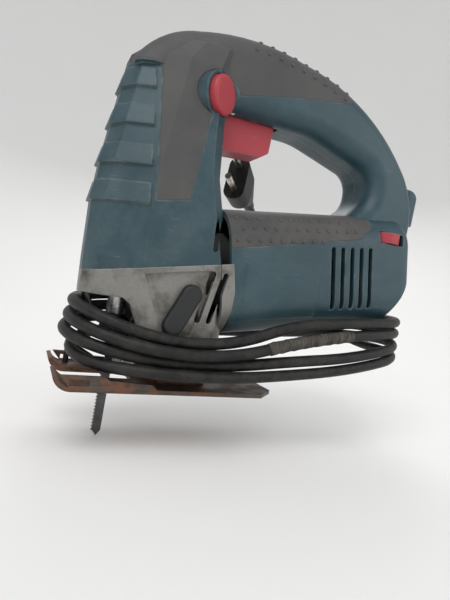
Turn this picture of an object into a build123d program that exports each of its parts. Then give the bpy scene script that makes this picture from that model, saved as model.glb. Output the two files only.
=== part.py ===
from build123d import *
import math
import os

os.makedirs("parts", exist_ok=True)

# Corded orbital jigsaw with a bow handle. The sole is z = 0, the blade stands at x = 0,
# the nose points to -X and the label side to -Y. Sizes are millimetres and degrees.

# Motor line and gear train
motor_tilt = 8.0
motor_x = 62.0
motor_z = 74.0
module = 1.0
pinion_teeth = 8
gear_teeth = 46
gear_width = 7.0
gear_front = -29.5
tooth_share = 0.40
stroke = 20.0
crank_pin_diameter = 7.0
roller_diameter = 9.0
axle_diameter = 9.0

# Plunger, clamp and blade
rod_lean = 2.5
rod_diameter = 12.0
rod_top = 150.0
clamp_bottom = 23.0
clamp_top = 40.0
clamp_diameter = 17.0
sleeve_wall = 2.0
blade_width = 6.0
blade_thickness = 1.2
blade_tip = -35.6
blade_top = 37.0
tooth_pitch = 2.0
tooth_depth = 1.1

# Walls and fits
wall = 3.2
grip_thickness = 1.6
running_fit = 0.05
clearance = 0.4

# Motor
barrel_half_width = 33.0
barrel_half_height = 39.0
barrel_corner = 22.0
barrel_length = 140.0
shaft_diameter = 8.0
stack_diameter = 32.0
field_diameter = 55.0
field_bore = 33.2
field_start = 22.0
field_length = 42.0
fan_diameter = 50.0
fan_start = 3.0
fan_width = 10.0
fan_blades = 11
commutator_diameter = 22.0
commutator_start = 75.0
commutator_length = 14.0
front_bearing_diameter = 22.0
front_bearing_width = 8.0
front_bearing_start = -13.0
rear_bearing_diameter = 19.0
rear_bearing_width = 6.0
rear_bearing_start = 97.0

# Base plate
base_half_width = 37.4
base_front = -33.0
base_rear = 101.0
base_thickness = 2.5
base_slot_half = 11.0
base_slot_end = 14.0
rail_height = 8.6
fence_slot_width = 10.0
fence_slot_height = 3.0
fence_slot_x = -19.0
housing_foot = 14.0

# Controls
trigger_width = 16.0
lock_diameter = 23.0
lock_travel = 3.0
dial_diameter = 20.0
dial_width = 7.0
lever_length = 33.0
lever_width = 12.0

# Cord
cord_diameter = 7.0
plug_pin_spacing = 19.0
plug_pin_diameter = 4.8
plug_pin_length = 19.0

tilt_cos = math.cos(math.radians(motor_tilt))
tilt_sin = math.sin(math.radians(motor_tilt))
lean_cos = math.cos(math.radians(rod_lean))
lean_sin = math.sin(math.radians(rod_lean))
gear_rise = module * (gear_teeth + pinion_teeth) / 2
crank_radius = stroke / 2

# Working planes: across the motor line, the side view along it, and the plunger's own frame
across = Plane((motor_x, 0, motor_z), x_dir=(0, 1, 0), z_dir=(tilt_cos, 0, tilt_sin))
motor_side = Plane((motor_x, 0, motor_z), x_dir=(tilt_cos, 0, tilt_sin), z_dir=(0, -1, 0))
rod_frame = Plane((0, 0, 0), x_dir=(lean_cos, 0, -lean_sin), z_dir=(lean_sin, 0, lean_cos))
rod_side = Plane((0, 0, 0), x_dir=(lean_cos, 0, -lean_sin), z_dir=(0, -1, 0))


def save(solid, name):
    """Label one finished piece and write its file."""
    solid.label = name
    export_step(solid, f"parts/{name}.step")


def disc(plane, start, length, diameter, bore=0.0, centre=(0, 0)):
    """A disc or ring on a plane, from start along its normal."""
    with BuildPart() as made:
        with BuildSketch(plane.offset(start)):
            with Locations(centre):
                Circle(diameter / 2)
                if bore:
                    Circle(bore / 2, mode=Mode.SUBTRACT)
        extrude(amount=length)
    return made.part


def prism(points, low, high, plane=Plane.XZ):
    """A side-view outline stretched across the tool between two y values."""
    with BuildPart() as made:
        with BuildSketch(plane.offset(-high)):
            with BuildLine():
                Polyline(*points, close=True)
            make_face()
        extrude(amount=high - low)
    return made.part


def block(size, centre, radius=0.0, plane=Plane.XY):
    """A box with rounded upright edges, by its size and centre."""
    with BuildPart() as made:
        with BuildSketch(plane.offset(centre[2] - size[2] / 2)):
            with Locations((centre[0], centre[1])):
                if radius:
                    RectangleRounded(size[0], size[1], radius)
                else:
                    Rectangle(size[0], size[1])
        extrude(amount=size[2])
    return made.part


# Column: the faceted nose from the foot of the gear housing up into the handle. Each station is
# its height, its front and rear x, and its half width.
column_stations = ((3.0, -22.0, 62.0, 28.0), (72.0, -22.0, 62.0, 30.5), (104.0, -21.5, 54.0, 30.5),
                   (128.0, -19.0, 48.5, 30.0), (190.0, -9.5, 46.0, 28.0), (202.0, 3.5, 50.0, 25.5),
                   (207.0, 15.0, 56.0, 19.0))
crest_half = 6.5
shoulder_half = 16.5
shoulder_depth = 6.5
side_depth = 30.0
rear_chamfer = 7.0


def column_half_line(front, rear, half, inset):
    """Half of the column's faceted outline from the crest back, moved in by the inset."""
    return (
        (front + inset, crest_half - 0.4 * inset),
        (front + shoulder_depth + 0.5 * inset, shoulder_half - 0.8 * inset),
        (front + min(side_depth, 0.55 * (rear - front)) + 0.3 * inset, half - inset),
        (rear - rear_chamfer - 0.4 * inset, half - inset),
        (rear - inset, half - rear_chamfer - 0.4 * inset),
    )


def both_sides(half_line):
    """A closed outline from its half with positive y."""
    return (*half_line, *((x, -y) for x, y in reversed(half_line)))


def column(inset):
    """The column as a faceted loft, moved in by the inset."""
    with BuildPart() as made:
        for height, front, rear, half in column_stations:
            top = height == column_stations[-1][0]
            with BuildSketch(Plane.XY.offset(height - inset if top else height)):
                with BuildLine():
                    Polyline(*both_sides(column_half_line(front, rear, half, inset)), close=True)
                make_face()
        loft(ruled=True)
    return made.part


# Handle: a closed outline in the side view, over the crest and down the rear column, with the
# finger opening cut through it
handle_half_width = 22.0
crest_round = 13.0
bow_round = 12.0
crest_arcs = (((-9.5, 186.0), (4.0, 202.5), (27.0, 213.5)),
              ((27.0, 213.5), (62.0, 219.5), (100.0, 216.5)),
              ((100.0, 216.5), (150.0, 201.0), (191.0, 168.0)),
              ((191.0, 168.0), (203.5, 147.0), (206.5, 122.0)))
handle_inside = ((203.0, 92.0), (150.0, 80.0), (30.0, 90.0), (12.0, 150.0))
handle_foot = (30.0, 184.0)
# The finger opening's corners, each with its own radius
opening_corners = (((46.5, 171.5), 9.0), ((49.0, 112.0), 8.0), ((62.0, 100.0), 8.0),
                   ((128.0, 112.0), 20.0), ((146.0, 122.0), 30.0), ((164.0, 138.0), 18.0),
                   ((163.5, 157.5), 13.0), ((112.0, 172.0), 60.0))


def handle(inset):
    """The bow handle, moved in by the inset, with a rounded crest."""
    with BuildPart() as made:
        with BuildSketch(Plane.XZ):
            with BuildLine():
                for start, middle, end in crest_arcs:
                    ThreePointArc(start, middle, end)
                Polyline(crest_arcs[-1][2], *handle_inside, crest_arcs[0][0])
            make_face()
            if inset:
                offset(amount=-inset)
        extrude(amount=handle_half_width - inset, both=True)
        rims = made.edges().filter_by(GeomType.CIRCLE)
        rims = rims.filter_by(lambda edge: abs(abs(edge.center().Y) - handle_half_width + inset) < 0.01)
        fillet(rims, crest_round - inset)
        with BuildSketch(Plane.XZ):
            with BuildLine():
                FilletPolyline(*(corner for corner, _ in opening_corners),
                               radius=[radius for _, radius in opening_corners], close=True)
            make_face()
            if inset:
                offset(amount=inset)
        extrude(amount=handle_half_width, both=True, mode=Mode.SUBTRACT)
        rims = made.edges(Select.LAST)
        rims = rims.filter_by(lambda edge: abs(abs(edge.center().Y) - handle_half_width + inset) < 0.01)
        fillet(rims, bow_round - inset)
        # Below its foot in front, the handle leaves the column's facets clear
        with BuildSketch(Plane.XZ):
            with Locations(handle_foot):
                Rectangle(4 * handle_foot[0], handle_foot[1], align=(Align.MAX, Align.MAX))
        extrude(amount=handle_half_width, both=True, mode=Mode.SUBTRACT)
    return made.part


# Barrel: its lower rear end is cut back on a slant
slant_top = (207.5, 103.0)
slant_low = (176.0, 44.0)
barrel_end_round = 12.0


def barrel(inset, start=-2.0):
    """The motor barrel from a start on the motor line, moved in by the inset."""
    with BuildPart() as made:
        with BuildSketch(across.offset(start)):
            RectangleRounded(2 * (barrel_half_width - inset), 2 * (barrel_half_height - inset),
                             barrel_corner - inset)
        extrude(amount=barrel_length - start - inset)
        fillet(made.faces().sort_by(Axis.X)[-1].edges(), barrel_end_round - inset)
        with BuildSketch(Plane.XZ):
            with BuildLine():
                Polyline((slant_top[0] - inset, slant_top[1]), (slant_low[0] - inset, slant_low[1]),
                         (slant_low[0] - inset, 0), (2 * slant_top[0], 0), (2 * slant_top[0], slant_top[1]),
                         close=True)
            make_face()
        extrude(amount=2 * barrel_half_width, both=True, mode=Mode.SUBTRACT)
    return made.part


barrel_outer = barrel(0.0)
bow_outer = column(0.0) + handle(0.0)
bow_layer = column(grip_thickness) + handle(grip_thickness)
barrel_layer = barrel(grip_thickness)
shell_inner = column(wall) + handle(wall) + barrel(wall, -12.0)

# Seam between the cast gear housing and the plastic shells, seen from the side
seam_front = (-60.0, 56.5)
seam_rear = (61.0, 78.7)
housing_rear = ((64.0, 62.0), (62.5, 36.0), (60.0, -20.0))
far_side = 60.0
housing_zone = prism((seam_front, seam_rear, *housing_rear, (-60.0, -20.0)), -far_side, far_side)

# Nose ribs: four shingles that grow out to a lip at their lower edge and stop short of the panel
# that runs down the column
panel_low = (10.3, 107.0)
panel_high = (6.5, 181.5)
panel_top = (2.5, 184.8)
rib_lips = (104.2, 125.7, 148.5, 170.2)
rib_height = 11.5
rib_lip = 1.7
rib_root = 0.5
rib_margin = 3.5
rib_foot = 90.0
rib_zone = prism(((-far_side, rib_foot), (panel_low[0] - rib_margin, rib_foot),
                  (panel_low[0] - rib_margin, panel_low[1]), (panel_high[0] - rib_margin, panel_high[1]),
                  (-far_side, panel_high[1])), -far_side, far_side)


def nose_rib(lip_height):
    """One shingle across the nose, out to the crease where the flat side begins."""
    with BuildPart() as made:
        for height, out in ((lip_height, rib_lip), (lip_height + rib_height, rib_root)):
            above = next(k for k, station in enumerate(column_stations) if station[0] >= height)
            low, high = column_stations[above - 1], column_stations[above]
            share = (height - low[0]) / (high[0] - low[0])
            sizes = [a + share * (b - a) for a, b in zip(low[1:], high[1:])]
            with BuildSketch(Plane.XY.offset(height)):
                with BuildLine():
                    Polyline(*both_sides(column_half_line(*sizes, -out)[:3]), close=True)
                make_face()
        loft(ruled=True)
    return made.part


# Lock button seat on the shoulder of the column, turned towards the rear
lock_turn = 38.0
lock_centre = (41.0, -25.0, 175.0)
lock_out = (math.sin(math.radians(lock_turn)), -math.cos(math.radians(lock_turn)), 0)
lock_plane = Plane(lock_centre, x_dir=(0, 0, 1), z_dir=lock_out)
lock_seat_depth = 12.0
lock_guide = 3.0
lock_stem = 8.0
lock_height = 4.5
lock_seat = disc(lock_plane, -lock_seat_depth, lock_seat_depth, lock_diameter + 5.0)
lock_room = disc(lock_plane, -lock_seat_depth, 2 * lock_seat_depth, lock_diameter + 5.0)

# Rubber overmould: the grip over the handle's crest with a panel down the column, and the pad
# on top of the motor barrel
grip_edge = (panel_top, panel_high, panel_low, (29.7, 110.8), (35.7, 158.3), (43.0, 177.0),
             (90.0, 189.0), (134.0, 197.0), (149.0, 215.0))
grip_zone = prism((*grip_edge, (149.0, 240.0), (-40.0, 240.0), (-40.0, 186.0)), -far_side, far_side)
pad_edge = ((55.0, 87.0), (150.0, 108.0), (161.0, 118.0))
pad_zone = prism((*pad_edge, (161.0, 150.0), (55.0, 150.0)), -far_side, far_side)

with BuildPart() as grip:
    add(bow_outer)
    add(grip_zone, mode=Mode.INTERSECT)
    add(bow_layer, mode=Mode.SUBTRACT)
    add(lock_room, mode=Mode.SUBTRACT)

with BuildPart() as pad:
    add(barrel_outer)
    add(pad_zone, mode=Mode.INTERSECT)
    add(barrel_layer, mode=Mode.SUBTRACT)
    add(bow_outer, mode=Mode.SUBTRACT)

# Cord outlet boss behind the rear column, with the strain relief pointing down
outlet_top = (211.0, 158.0)
outlet_low = (206.5, 98.0)
outlet_diameter = 20.0
outlet_length = 27.0
relief_seat = 8.0
relief_diameter = 14.0
relief_tip_diameter = 10.0
outlet_run = math.hypot(outlet_top[0] - outlet_low[0], outlet_top[1] - outlet_low[1])
outlet_down = ((outlet_low[0] - outlet_top[0]) / outlet_run, 0, (outlet_low[1] - outlet_top[1]) / outlet_run)
outlet_plane = Plane((outlet_top[0], 0, outlet_top[1]), x_dir=(0, 1, 0), z_dir=outlet_down)
relief_start = outlet_length - relief_seat
with BuildPart() as outlet:
    with BuildSketch(outlet_plane):
        Circle(outlet_diameter / 2)
    extrude(amount=outlet_length)
    fillet(outlet.faces().sort_by(Axis.Z)[-1].edges(), 7.0)

# Screw posts between the two shells: place in the side view and the height of the head's seat
screw_posts = (((41.0, 151.0), 18.0), ((118.0, 184.0), 14.0), ((183.0, 160.0), 12.0), ((118.0, 46.0), 14.0),
               ((184.0, 78.0), 20.0))
post_diameter = 9.0
screw_diameter = 4.0
screw_head = 8.0
screw_head_height = 3.0
screw_length = 26.0

# Boxes inside the shells
switch_size = (38.0, 18.0, 18.0)
switch_centre = (88.0, 0.0, 196.0)
control_size = (20.0, 20.0, 24.0)
control_centre = (187.0, 0.0, 134.0)
rib_thickness = 3.0
brush_height = 10.0
brush_width = 8.0
holder_wall = 1.5
holder_end = 25.0

# Trigger outline, and the hinge at its front end
trigger_hinge = (55.0, 173.0)
trigger_outline = ((47.5, 168.0), (49.5, 152.5), (54.0, 150.0), (80.0, 151.5), (85.5, 155.0), (87.0, 173.0),
                   (80.0, 178.0), (52.0, 178.0))
trigger_pin_diameter = 4.0
trigger_pin_half = 13.0
trigger_mouth = ((45.5, 185.0), (45.5, 148.0), (90.0, 148.0), (90.0, 185.0))

# Speed dial, a thumbwheel that looks out of a window in the left shell
dial_centre = (177.0, -24.5, 113.0)
dial_axle = 3.0
dial_axle_half = 8.5
dial_window = (20.0, 8.0)

# Vents: upright slots in the barrel and in the foot of the column, square to the motor line
vent_width = 3.4
rear_vent_length = 41.0
rear_vent_first = 70.6
rear_vent_pitch = 7.5
rear_vent_count = 5
rear_vent_up = -4.4
front_vent_length = 20.0
front_vent_x = (49.0, 54.0)
front_vent_z = 94.0
vent_depth = 25.0

body_outer = bow_outer + barrel_outer + outlet.part
for lip in rib_lips:
    body_outer += nose_rib(lip) & rib_zone
body_outer += lock_seat


def seat_ribs(centre, size, along, zone):
    """Two ribs near the ends of a box that carry it between the shells."""
    ribs = []
    for end in (-1, 1):
        place = list(centre)
        place[along] += end * (size[along] / 2 - rib_thickness)
        rib_size = [side + 2 * rib_thickness for side in size]
        rib_size[along] = rib_thickness
        rib_size[1] = 2 * far_side
        ribs.append(zone & block(rib_size, place) - block([side + clearance / 4 for side in size], centre))
    return ribs


def ring_rib(start, bore):
    """A rib round the inside of the barrel with a bore on the motor line."""
    slab = disc(across, start, rib_thickness, 4 * far_side, bore + 2 * running_fit)
    return barrel_layer & slab


def post(place, diameter, low, high):
    """A round post across the tool at a place in the side view."""
    with BuildPart() as made:
        with BuildSketch(Plane.XZ.offset(-high)):
            with Locations(place):
                Circle(diameter / 2)
        extrude(amount=high - low)
    return made.part



with BuildPart() as shell:
    add(body_outer)
    add(shell_inner, mode=Mode.SUBTRACT)
    add(lock_seat)
    # Ribs that carry the field, the rear bearing, the switch and the control module
    add(ring_rib(field_start + rib_thickness, field_diameter))
    add(ring_rib(field_start + field_length - 2 * rib_thickness, field_diameter))
    add(ring_rib(rear_bearing_start, rear_bearing_diameter))
    add(seat_ribs(switch_centre, switch_size, 0, bow_layer))
    add(seat_ribs(control_centre, control_size, 2, bow_layer))
    # Screw posts with their holes, and counterbores for the heads from the right
    for place, seat in screw_posts:
        add(post(place, post_diameter, -far_side, far_side) & body_outer)
        add(post(place, screw_head + clearance, seat, far_side), mode=Mode.SUBTRACT)
        add(post(place, screw_diameter + 2 * running_fit, seat - screw_length, far_side), mode=Mode.SUBTRACT)
    # Brush holder seats, trigger mouth with its hinge pin, dial window and lock button bore
    for side in (-1, 1):
        holder = (commutator_start + commutator_length / 2, side * far_side / 2)
        with BuildSketch(across.offset(holder[0] - rib_thickness / 2)):
            with Locations((side * (barrel_half_width - 6.0), 0)):
                Rectangle(12.0 - 2 * grip_thickness, brush_height + 4 * holder_wall)
        extrude(amount=rib_thickness)
        with BuildSketch(across.offset(holder[0] - brush_width)):
            with Locations((side * holder_end / 2, 0)):
                Rectangle(holder_end + clearance / 2, brush_height + 2 * holder_wall + clearance / 2)
        extrude(amount=2 * brush_width, mode=Mode.SUBTRACT)
    add(post(trigger_hinge, 2 * trigger_pin_diameter, -far_side, far_side) & bow_layer)
    mouth_half = trigger_width / 2 + clearance
    add(prism(trigger_mouth, -mouth_half, mouth_half), mode=Mode.SUBTRACT)
    add(post(trigger_hinge, trigger_pin_diameter, -trigger_pin_half, trigger_pin_half), mode=Mode.SUBTRACT)
    for side in (-1, 1):
        boss_z = dial_centre[2] + side * (dial_axle_half - 2.0)
        add(block((8.0, 13.0, 4.0), (dial_centre[0], dial_centre[1] - 1.5, boss_z)) & barrel_layer)
    add(block((dial_axle, dial_axle, 2 * dial_axle_half), dial_centre), mode=Mode.SUBTRACT)
    with BuildSketch(Plane.XY.offset(dial_centre[2] - dial_window[1] / 2)):
        with Locations((dial_centre[0], -far_side / 2 - 14.0)):
            Rectangle(dial_window[0], far_side)
    extrude(amount=dial_window[1], mode=Mode.SUBTRACT)
    add(disc(lock_plane, lock_guide - lock_seat_depth, far_side, lock_diameter + 2 * clearance),
        mode=Mode.SUBTRACT)
    add(disc(lock_plane, -2 * lock_seat_depth, 2 * lock_seat_depth, lock_stem + 2 * running_fit),
        mode=Mode.SUBTRACT)
    # Seat of the strain relief
    add(disc(outlet_plane, relief_start, far_side, relief_diameter + 2 * running_fit), mode=Mode.SUBTRACT)
    # Vents through both walls, kept clear of the ribs inside
    for near in (motor_side.offset(vent_depth), motor_side.offset(-far_side)):
        for k in range(rear_vent_count):
            with BuildSketch(near):
                with Locations((rear_vent_first + k * rear_vent_pitch, rear_vent_up)):
                    SlotOverall(rear_vent_length, vent_width, rotation=90)
            extrude(amount=far_side - vent_depth, mode=Mode.SUBTRACT)
    for near in (Plane.XZ.offset(vent_depth), Plane.XZ.offset(-far_side)):
        for vent_x in front_vent_x:
            with BuildSketch(near):
                with Locations((vent_x, front_vent_z)):
                    SlotOverall(front_vent_length, vent_width, rotation=90)
            extrude(amount=far_side - vent_depth, mode=Mode.SUBTRACT)
    add(housing_zone, mode=Mode.SUBTRACT)
    add(grip.part, mode=Mode.SUBTRACT)
    add(pad.part, mode=Mode.SUBTRACT)

halves = split(shell.part, Plane.XZ, keep=Keep.BOTH).solids().sort_by(SortBy.VOLUME)[-2:].sort_by(Axis.Y)
save(halves[0], "left_shell")
save(halves[1], "right_shell")
save(grip.part, "handle_grip")
save(pad.part, "motor_pad")

with BuildPart() as shell_screws:
    for place, seat in screw_posts:
        add(post(place, screw_head, seat, seat + screw_head_height))
        add(post(place, screw_diameter, seat - screw_length + clearance, seat))
        with BuildSketch(Plane.XZ.offset(-seat - screw_head_height)):
            with Locations(place):
                RegularPolygon(1.6, 6)
        extrude(amount=2.0, mode=Mode.SUBTRACT)
save(shell_screws.part, "shell_screws")

# Gear housing: one casting with the visible lower case, the deck and boss of the lower bush, the
# back plate with the front bearing's seat, and the bridge that carries the upper bush
mouth = ((-60.0, 51.0), (0.0, 51.0), (4.0, 48.0), (8.0, 38.0), (11.0, 24.0), (11.5, 0.0), (-60.0, 0.0))
lever_pivot = (29.0, 38.5)
lever_rest = 64.0
lever_recess = ((9.0, 66.0), (49.0, 73.0), (41.0, 33.0), (24.0, 31.0))
lever_floor = 28.2
lever_shaft = 8.0
deck_low = 61.3
deck_high = 64.8
bush_top = 71.0
bush_wall = 2.0
bush_boss = 26.0
bridge_low = 132.0
bridge_high = 142.0
plate_front = -20.0
plate_rear = -15.0
plate_top = 66.0
seat_wall = 3.5
fork_pivot = (20.0, 50.0)
fork_pin_diameter = 5.0
fork_pin_half = 12.0
fork_boss = 8.5
base_screw_x = 42.0
base_screw_diameter = 6.0
floor_thickness = 4.0
slot_places = (47.0, 54.0)
slot_z = 57.0
slot_lean = 78.0
slot_length = 32.0

housing_body = column(0.0) + barrel(0.0, -8.0)
housing_skin = column(grip_thickness)
bush_diameter = rod_diameter + 2 * bush_wall
with BuildPart() as gear_housing:
    add(housing_body)
    add(housing_zone, mode=Mode.INTERSECT)
    add(shell_inner, mode=Mode.SUBTRACT)
    add(prism(mouth, -far_side, far_side), mode=Mode.SUBTRACT)
    add(prism(((26.0, housing_foot), (59.5, housing_foot), (59.5, housing_foot + floor_thickness),
               (26.0, housing_foot + floor_thickness)), -26.5, 26.5))
    add(block((41.0, 4 * far_side, deck_high - deck_low), (3.5, 0, (deck_low + deck_high) / 2), 0, rod_frame)
        & housing_skin & housing_zone)
    add(disc(rod_frame, deck_low, bush_top - deck_low, bush_boss))
    with BuildSketch(across.offset(plate_front)):
        Rectangle(4 * far_side, 4 * far_side)
    lower_plate = extrude(amount=plate_rear - plate_front, mode=Mode.PRIVATE)
    add(lower_plate & housing_skin & housing_zone)
    with BuildSketch(across.offset(plate_front)):
        with Locations((0, plate_top / 2 - 5.0)):
            Rectangle(44.0, plate_top + 10.0)
    extrude(amount=plate_rear - plate_front)
    add(disc(across, plate_rear, front_bearing_start + front_bearing_width - plate_rear,
             front_bearing_diameter + 2 * seat_wall))
    add(block((46.0, 22.0, bridge_high - bridge_low), (11.5, 0, (bridge_low + bridge_high) / 2), 4.0,
              rod_frame))
    for side in (-1, 1):
        ends = sorted((side * fork_boss, side * 28.0))
        add(post(fork_pivot, 2 * fork_pin_diameter, *ends))
    add(post(lever_pivot, 2 * lever_shaft - 2.0, -lever_floor, -20.0))
    # Bores
    add(disc(rod_frame, deck_low - 1.0, bridge_high, bush_diameter), mode=Mode.SUBTRACT)
    add(disc(across, plate_front, far_side, shaft_diameter + 5.0), mode=Mode.SUBTRACT)
    add(disc(across, front_bearing_start, far_side, front_bearing_diameter + 2 * running_fit),
        mode=Mode.SUBTRACT)
    add(disc(across, plate_front, far_side, axle_diameter, 0.0, (0, gear_rise)), mode=Mode.SUBTRACT)
    add(post(fork_pivot, fork_pin_diameter + 2 * running_fit, -fork_pin_half, fork_pin_half),
        mode=Mode.SUBTRACT)
    add(prism(lever_recess, -far_side, -lever_floor), mode=Mode.SUBTRACT)
    add(post(lever_pivot, lever_shaft + 2 * running_fit, -far_side, 0.0), mode=Mode.SUBTRACT)
    with BuildSketch(Plane.XY):
        with Locations((base_screw_x, 0)):
            Circle(base_screw_diameter / 2)
    extrude(amount=housing_foot + floor_thickness, mode=Mode.SUBTRACT)
    with BuildSketch(Plane.XY):
        Rectangle(4 * far_side, 4 * far_side)
    extrude(amount=housing_foot, mode=Mode.SUBTRACT)
    for near in (Plane.XZ.offset(vent_depth), Plane.XZ.offset(-far_side)):
        for slot_x in slot_places:
            with BuildSketch(near):
                with Locations((slot_x, slot_z)):
                    SlotOverall(slot_length, vent_width, rotation=slot_lean)
            extrude(amount=far_side - vent_depth, mode=Mode.SUBTRACT)
print("gear_housing", [round(s.volume) for s in gear_housing.solids()])
save(gear_housing.solids().sort_by(SortBy.VOLUME)[-1], "gear_housing")

# Plunger: bushes, rod and the slotted yoke behind it. The crank pin runs along the motor line, so
# its height at the yoke comes from where its line crosses the yoke's mid plane.
yoke_front = 7.2
yoke_depth = 7.8
yoke_play = 3.6
yoke_wall = 4.0
yoke_lug = 10.0
pin_reach = -46.0
drive_angle = math.radians(motor_tilt + rod_lean)
pin_up = gear_rise - crank_radius
yoke_middle = yoke_front + yoke_depth / 2
pin_run = (yoke_middle - motor_x * lean_cos + motor_z * lean_sin + pin_up * math.sin(drive_angle))
pin_run /= math.cos(drive_angle)
yoke_height = (motor_x * lean_sin + motor_z * lean_cos + pin_run * math.sin(drive_angle)
               + pin_up * math.cos(drive_angle))
slot_half = roller_diameter / 2 + yoke_play
slot_reach = crank_radius + roller_diameter / 2 + 1.0
yoke_half = slot_half + yoke_wall
yoke_plane = Plane(rod_frame.from_local_coords((yoke_front, 0, 0)), x_dir=(0, 1, 0), z_dir=rod_frame.x_dir)

save(disc(rod_frame, deck_low, bush_top - deck_low, bush_diameter, rod_diameter + 2 * running_fit),
     "lower_bush")
save(disc(rod_frame, bridge_low, bridge_high - bridge_low, bush_diameter, rod_diameter + 2 * running_fit),
     "upper_bush")
plunger_rod = disc(rod_frame, clamp_top, rod_top - clamp_top, rod_diameter)
save(plunger_rod, "plunger_rod")

with BuildPart() as yoke:
    with BuildSketch(yoke_plane):
        with Locations((0, yoke_height)):
            RectangleRounded(2 * (slot_reach + yoke_wall), 2 * yoke_half, 4.0)
            RectangleRounded(2 * slot_reach, 2 * slot_half, 3.0, mode=Mode.SUBTRACT)
    extrude(amount=yoke_depth)
    for side in (-1, 1):
        lug_height = yoke_height + side * (yoke_half - yoke_wall / 2)
        add(block((yoke_front + 1.0, yoke_lug, yoke_wall), (yoke_front / 2 + 0.5, 0, lug_height), 0,
                  rod_frame))
    add(plunger_rod, mode=Mode.SUBTRACT)
save(yoke.part, "yoke")

# Blade clamp: a slotted body on the rod's end, and a sleeve that turns to free the blade
sleeve_bore = clamp_diameter - 2 * sleeve_wall
with BuildPart() as clamp_body:
    add(disc(rod_frame, clamp_bottom, clamp_top - clamp_bottom, sleeve_bore - 2 * running_fit))
    with BuildSketch(rod_frame.offset(clamp_bottom)):
        Rectangle(blade_width + 0.2, blade_thickness + 0.1)
    extrude(amount=blade_top - clamp_bottom, mode=Mode.SUBTRACT)
save(clamp_body.part, "clamp_body")

sleeve_ribs = 10
with BuildPart() as clamp_sleeve:
    add(disc(rod_frame, clamp_bottom + 1.0, clamp_top - clamp_bottom - 3.0, clamp_diameter, sleeve_bore))
    with BuildSketch(rod_frame.offset(clamp_bottom + 1.0)):
        with PolarLocations(clamp_diameter / 2, sleeve_ribs):
            Circle(0.9)
    extrude(amount=clamp_top - clamp_bottom - 3.0, mode=Mode.SUBTRACT)
save(clamp_sleeve.part, "clamp_sleeve")

# Blade: teeth on the front edge, a slanted tip, and a plain shank in the clamp
tooth_start = blade_tip + 3.0
tooth_count = 22
with BuildPart() as blade:
    with BuildSketch(rod_side.offset(-blade_thickness / 2)):
        with BuildLine():
            teeth_line = [(-blade_width / 2 + tooth_depth, tooth_start)]
            for k in range(tooth_count):
                root = tooth_start + k * tooth_pitch
                teeth_line.append((-blade_width / 2, root + 0.15 * tooth_pitch))
                teeth_line.append((-blade_width / 2 + tooth_depth, root + tooth_pitch))
            Polyline((blade_width / 2 - 2.5, blade_tip), *teeth_line,
                     (-blade_width / 2 + tooth_depth, clamp_bottom - 6),
                     (-blade_width / 2, clamp_bottom - 4), (-blade_width / 2, blade_top),
                     (blade_width / 2, blade_top), (blade_width / 2, blade_tip + 3.5), close=True)
        make_face()
    extrude(amount=blade_thickness)
save(blade.part, "blade")

# Guide roller behind the blade, on a fork that rocks for the orbital stroke
roller_radius = 8.0
groove_radius = 6.5
groove_width = 2.2
roller_width = 7.0
roller_z = 14.0
roller_pin_diameter = 4.0
fork_thickness = 2.5
fork_width = 6.5
roller_x = (blade_width / 2 + groove_radius + 0.3) / lean_cos + roller_z * lean_sin / lean_cos
fork_inner = roller_width / 2 + 0.3
roller_place = (roller_x, roller_z)
with BuildPart() as guide_roller:
    add(post(roller_place, 2 * roller_radius, -roller_width / 2, roller_width / 2))
    add(post(roller_place, 4 * roller_radius, -groove_width / 2, groove_width / 2)
        - post(roller_place, 2 * groove_radius, -groove_width / 2, groove_width / 2), mode=Mode.SUBTRACT)
    add(post(roller_place, roller_pin_diameter + 2 * running_fit, -roller_width, roller_width),
        mode=Mode.SUBTRACT)
save(guide_roller.part, "guide_roller")

fork_run = (fork_pivot[0] - roller_x, fork_pivot[1] - roller_z)
fork_length = math.hypot(*fork_run)
fork_angle = math.degrees(math.atan2(fork_run[1], fork_run[0]))
fork_middle = ((fork_pivot[0] + roller_x) / 2, (fork_pivot[1] + roller_z) / 2)
with BuildPart() as roller_fork:
    for near in (-fork_inner - fork_thickness, fork_inner):
        with BuildSketch(Plane.XZ.offset(-near - fork_thickness)):
            with Locations(fork_middle):
                SlotCenterToCenter(fork_length, fork_width, rotation=fork_angle)
            with Locations(fork_pivot):
                Circle(fork_pin_diameter)
        extrude(amount=fork_thickness)
    with BuildSketch(Plane.XZ.offset(-fork_inner)):
        with Locations(fork_pivot):
            Circle(fork_pin_diameter)
    extrude(amount=2 * fork_inner)
    add(post(fork_pivot, fork_pin_diameter + 2 * running_fit, -far_side, far_side), mode=Mode.SUBTRACT)
    add(post(roller_place, roller_pin_diameter, -far_side, far_side), mode=Mode.SUBTRACT)
save(roller_fork.part, "roller_fork")
fork_outer = fork_inner + fork_thickness
save(post(roller_place, roller_pin_diameter, -fork_outer, fork_outer), "roller_pin")
save(post(fork_pivot, fork_pin_diameter, -fork_pin_half, fork_pin_half), "fork_pin")

# Orbital lever: an oval paddle in the recess, on a shaft through the near wall
lever_thickness = 5.0
lever_gap = 0.3
lever_middle = (lever_pivot[0] + (lever_length - lever_width) / 2 * math.cos(math.radians(lever_rest)),
                lever_pivot[1] + (lever_length - lever_width) / 2 * math.sin(math.radians(lever_rest)))
with BuildPart() as orbital_lever:
    with BuildSketch(Plane.XZ.offset(lever_floor + lever_gap)):
        with Locations(lever_middle):
            SlotOverall(lever_length, lever_width, rotation=lever_rest)
    extrude(amount=lever_thickness)
    fillet(orbital_lever.faces().sort_by(Axis.Y)[0].edges(), 1.8)
    add(post(lever_pivot, lever_shaft, -lever_floor - lever_gap, -14.0))
save(orbital_lever.part, "orbital_lever")

# Crank gear with its pin, axle and roller, and the armature with the pinion on its shaft
addendum = 0.7 * module
dedendum = 1.0 * module
pressure_slope = math.tan(math.radians(20))


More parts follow.
